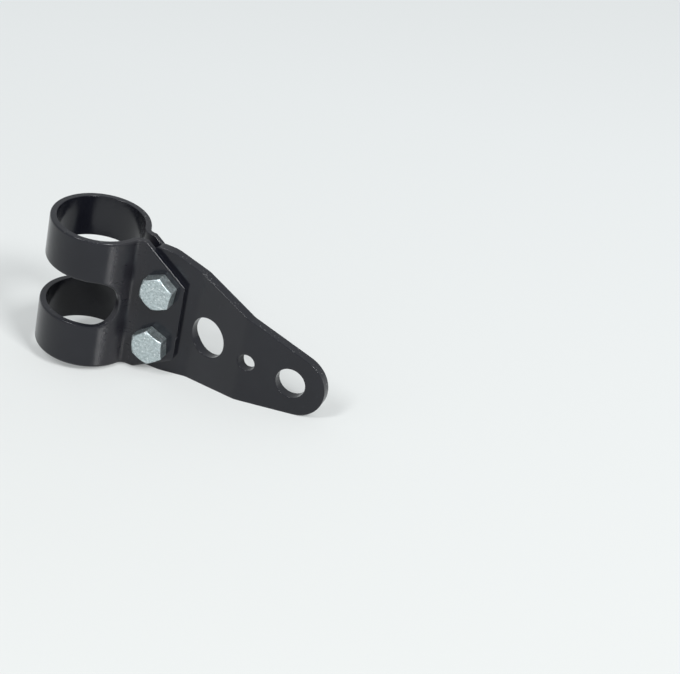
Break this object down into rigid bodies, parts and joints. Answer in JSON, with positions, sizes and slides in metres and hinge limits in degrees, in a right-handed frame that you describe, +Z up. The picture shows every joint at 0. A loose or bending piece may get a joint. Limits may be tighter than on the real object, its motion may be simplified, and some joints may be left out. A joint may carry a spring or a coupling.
{
  "type": "light bracket",
  "caption": "Bracket that hangs a lamp beside an upright round tube: a folded double-ring clamp grips the tube, and a joggled, pierced plate arm is bolted between its flanges.",
  "frame": {"origin": "on the axis of the tube that the clamp grips, level with the clamp's lower end", "axes": "+Z up along the gripped tube, +X out along the arm, and -Y the side that the bolt heads and the arm's outer end face"},
  "size_m": [0.1278, 0.0402, 0.0575],
  "materials": {
    "black_paint": "smooth black paint, between satin and gloss, with soft reflections and thin pale edges",
    "zinc_plate": "bright blue-white zinc plating, slightly cloudy"
  },
  "bodies": {
    "root": {"clamp": "black_paint", "arm": "black_paint", "bolt_upper": "zinc_plate", "bolt_lower": "zinc_plate", "nut_upper": "zinc_plate", "nut_lower": "zinc_plate"}
  },
  "joints": []
}
